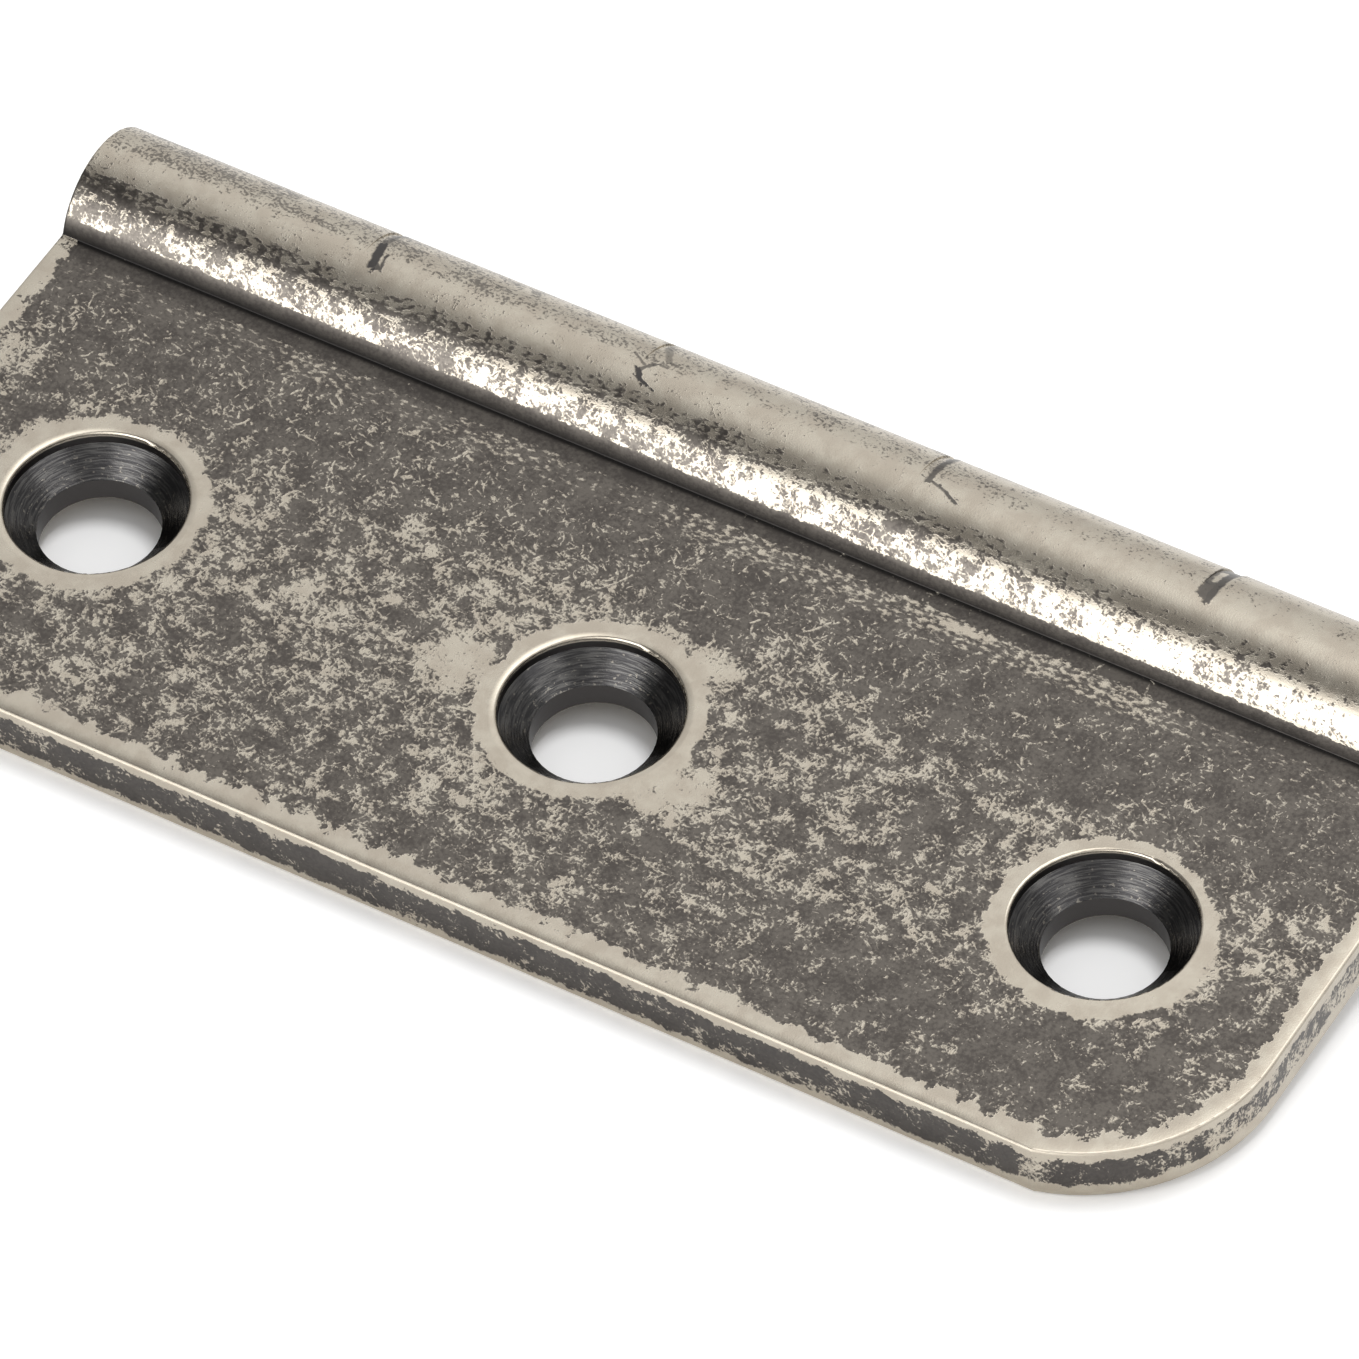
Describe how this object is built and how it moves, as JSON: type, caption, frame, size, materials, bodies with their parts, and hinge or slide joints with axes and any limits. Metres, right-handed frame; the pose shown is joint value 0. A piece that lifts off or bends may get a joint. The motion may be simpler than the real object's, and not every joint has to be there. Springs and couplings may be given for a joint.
{
  "type": "dummy butt hinge leaf",
  "caption": "One-piece dummy butt hinge leaf: flat plate with countersunk screw holes in a row, rounded front corners and a solid barrel with mock knuckle lines.",
  "frame": {"origin": "on the middle screw hole's axis, at the leaf's back face", "axes": "+X along the hinge's length, +Y from the screw holes towards the barrel, +Z out of the countersunk face"},
  "size_m": [0.0762, 0.0346, 0.0078],
  "materials": {
    "aged_pewter": "antique pewter patina over brass, relieved by hand to bright metal on edges, hole rims and barrel"
  },
  "bodies": {
    "root": {"hinge_leaf": "aged_pewter"}
  },
  "joints": []
}
